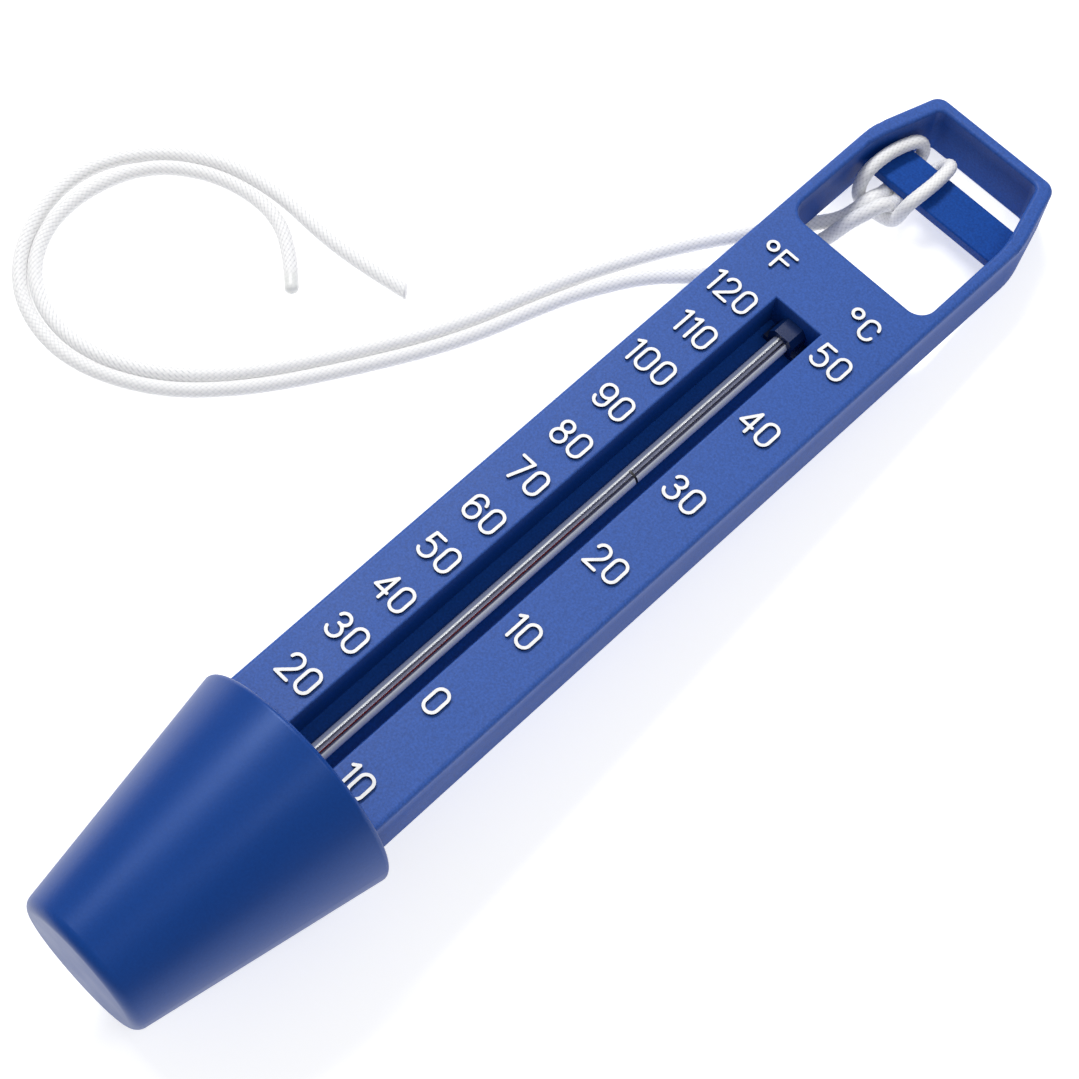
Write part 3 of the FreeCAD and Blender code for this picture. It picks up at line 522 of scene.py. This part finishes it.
def glass_material():
    """Thermometer glass with a milky back. Two bright lines, painted highlights with grey between
    them, run along the stem beside a painted line of shade and a pale painted light at its
    right edge, and its front is clear only in two thin panes that show the spirit."""
    shader = Shader("glass_painted_light")
    sideways = shader.distance((1.0, 0.0, 0.0), 0.0)
    across = shader.span(sideways, 0.0, 1.0, -TUBE_RADIUS, TUBE_RADIUS)
    depth = shader.distance(FACE_NORMAL, TUBE_AXIS_LEVEL)
    streaks = shader.noise(1800.0, detail=2.0, stretch=(1.0, 0.004, 0.04))
    left_painted_highlight = scaled(GLASS_PAINTED_HIGHLIGHT, 0.70)
    # Painted light: the bright lines are painted highlights and the pale band at the right edge is
    # painted light; the dark line and the darker left edge are painted shade.
    painted_light_stripes = shader.ramp(
        across,
        (0.00, scaled(GLASS_GREY, 0.75)), (0.16, GLASS_GREY), (0.32, GLASS_GREY),
        (0.35, left_painted_highlight), (0.41, left_painted_highlight),
        (0.44, GLASS_CORE), (0.65, GLASS_CORE),
        (0.68, GLASS_PAINTED_SHADE_LINE), (0.80, GLASS_PAINTED_SHADE_LINE),
        (0.84, GLASS_PAINTED_HIGHLIGHT), (0.93, GLASS_PAINTED_HIGHLIGHT), (1.00, GLASS_PAINTED_PALE_LIGHT))
    drawn = shader.times(painted_light_stripes, shader.ramp(streaks, (0.35, grey(0.86)), (0.65, grey(1.0))))
    milk = shader.ramp(streaks, (0.35, scaled(GLASS_MILK, 0.9)), (0.65, GLASS_MILK))
    back = shader.span(depth, 1.0, 0.0, -0.6 * MM, -0.45 * MM)
    front = shader.span(depth, 0.0, 1.0, 0.45 * MM, 0.6 * MM)
    # Opacity: the bore's own wall is clear, the back and the sides are solid, and the front is
    # solid but for its panes.
    panes = shader.ramp(
        across,
        (0.43, grey(1.0)), (0.47, grey(0.25)), (0.53, grey(0.25)), (0.57, grey(0.9)),
        (0.66, grey(0.9)), (0.68, grey(0.05)), (0.74, grey(0.05)), (0.77, grey(1.0)))
    sides = shader.ramp(
        across,
        (0.12, grey(1.0)), (0.14, grey(0.0)), (0.86, grey(0.0)), (0.88, grey(1.0)))
    solid = shader.extreme("MAXIMUM", back, shader.extreme("MINIMUM", front, panes))
    shader.drive("Base Color", shader.blend(back, drawn, milk))
    shader.drive("Alpha", shader.extreme("MAXIMUM", solid, sides))
    shader.drive("Roughness", shader.span(streaks, 0.10, 0.16))
    shader.set(IOR=1.5, Specular_IOR_Level=0.35)
    return shader.material


def spirit_material():
    """Dyed red spirit."""
    shader = Shader("red_spirit")
    cloud = shader.noise(300.0, stretch=(1.0, 0.1, 1.0))
    red = shader.ramp(cloud, (0.3, (0.34, 0.006, 0.012)), (0.7, (0.46, 0.010, 0.018)))
    shader.drive("Base Color", red)
    shader.drive("Roughness", shader.span(cloud, 0.05, 0.12))
    return shader.material


def ink_material():
    """Black line fired on the glass."""
    shader = Shader("black_ink")
    wear = shader.noise(2500.0)
    black = shader.ramp(wear, (0.3, (0.010, 0.010, 0.012)), (0.8, (0.035, 0.035, 0.040)))
    shader.drive("Base Color", black)
    shader.drive("Roughness", shader.span(wear, 0.35, 0.55))
    return shader.material


def rubber_material():
    """Dark soft rubber."""
    shader = Shader("dark_rubber")
    dust = shader.noise(700.0, detail=4.0)
    dark = shader.ramp(dust, (0.3, (0.018, 0.018, 0.022)), (0.8, (0.045, 0.045, 0.050)))
    shader.drive("Base Color", dark)
    shader.drive("Roughness", shader.span(dust, 0.65, 0.85))
    shader.bump(shader.noise(2400.0), 0.02 * MM, 0.5)
    return shader.material


def cord_material():
    """White braid with painted shade between its strands, clearer where the end was melted."""
    shader = Shader("white_braid")
    sealed = shader.attribute("sealed")
    # Painted shade: the braid's colour darkens towards the grooves between its strands.
    braid = shader.ramp(
        shader.attribute("relief"),
        (0.05, (0.50, 0.51, 0.53)), (0.45, (0.84, 0.84, 0.85)), (0.90, (0.97, 0.97, 0.97)))
    fuzz = shader.noise(1800.0, detail=3.0)
    melted = shader.ramp(fuzz, (0.3, (0.74, 0.75, 0.74)), (0.7, (0.84, 0.85, 0.84)))
    shader.drive("Base Color", shader.blend(sealed, braid, melted))
    shader.drive("Roughness", shader.span(sealed, 0.75, 0.28))
    shader.bump(shader.noise(6000.0, detail=2.0), 0.03 * MM, 0.5)
    shader.set(Sheen_Weight=0.25, Sheen_Roughness=0.4, Subsurface_Weight=0.12,
               Subsurface_Radius=grey(CORD_GLOW))
    return shader.material


def floor_material():
    """Plain white studio paper."""
    shader = Shader("studio_paper")
    tone = shader.noise(4.0, detail=2.0)
    shader.drive("Base Color", shader.ramp(tone, (0.3, grey(0.80)), (0.7, grey(0.82))))
    shader.set(Roughness=0.9, Specular_IOR_Level=0.0, Emission_Strength=0.6)
    shader.tint("Emission Color", grey(1.0))
    return shader.material


def dress(material, *names):
    """Gives CAD nodes their finish."""
    for name in names:
        materials = NODES[name].data.materials
        materials.clear()
        materials.append(material)


# ------------------------------------------------------------------ stage

FLOOR_REACH = 1.5
WORLD_STRENGTH = 0.38
SOFTBOX_LENGTH = 0.9


def make_floor():
    """A wide pale sheet under everything."""
    corners = [(-1, -1), (1, -1), (1, 1), (-1, 1)]
    mesh = bpy.data.meshes.new("floor")
    mesh.from_pydata([(x * FLOOR_REACH, y * FLOOR_REACH, 0) for x, y in corners],
                     [], [(0, 1, 2, 3)])
    mesh.materials.append(floor_material())
    add_to_scene("floor", mesh)


def softbox(name, place, width, power):
    """A long light that faces the origin and runs along the thermometer."""
    data = bpy.data.lights.new(name, "AREA")
    data.shape = "RECTANGLE"
    data.size = SOFTBOX_LENGTH
    data.size_y = width
    data.energy = power
    away = Vector(place).normalized()
    along = (Vector((0.0, 1.0, 0.0)) - away * away.y).normalized()
    turn = Matrix((along, away.cross(along), away)).transposed()
    light = add_to_scene(name, data)
    light.matrix_world = Matrix.Translation(place) @ turn.to_4x4()


def make_lights():
    """A bright studio: even white surroundings, a key from the left and a weaker fill."""
    world = bpy.data.worlds.new("studio")
    world.use_nodes = True
    background = world.node_tree.nodes["Background"]
    background.inputs["Color"].default_value = (1.0, 1.0, 1.0, 1.0)
    background.inputs["Strength"].default_value = WORLD_STRENGTH
    bpy.context.scene.world = world
    softbox("key", (-0.58, 0.30, 0.92), width=0.24, power=9.0)
    softbox("top", (0.40, 0.25, 1.05), width=0.16, power=2.0)
    bpy.context.scene.view_settings.view_transform = "Standard"


# ------------------------------------------------------------------ all together

def main():
    """Builds the whole scene round the CAD nodes."""
    make_camera()
    braid = cord_material()
    build_cord("cord_hitch", HITCH_ROUTE, HITCH_DIAMETER, braid)
    build_cord("cord_inner_leg", INNER_LEG_ROUTE, CORD_DIAMETER, braid, end="melted")
    build_cord("cord_outer_leg", OUTER_LEG_ROUTE, CORD_DIAMETER, braid, end="cut")
    dress(body_material(), "scale_body", "back_cover")
    dress(clip_material(), "tube_clip")
    dress(cup_material(), "water_cup")
    dress(figure_material(), "fahrenheit_figures", "celsius_figures", "unit_marks")
    dress(glass_material(), "glass_tube")
    dress(spirit_material(), "spirit_reservoir", "spirit_thread")
    dress(ink_material(), "index_mark")
    dress(rubber_material(), "stem_grommet")
    make_floor()
    make_lights()


main()
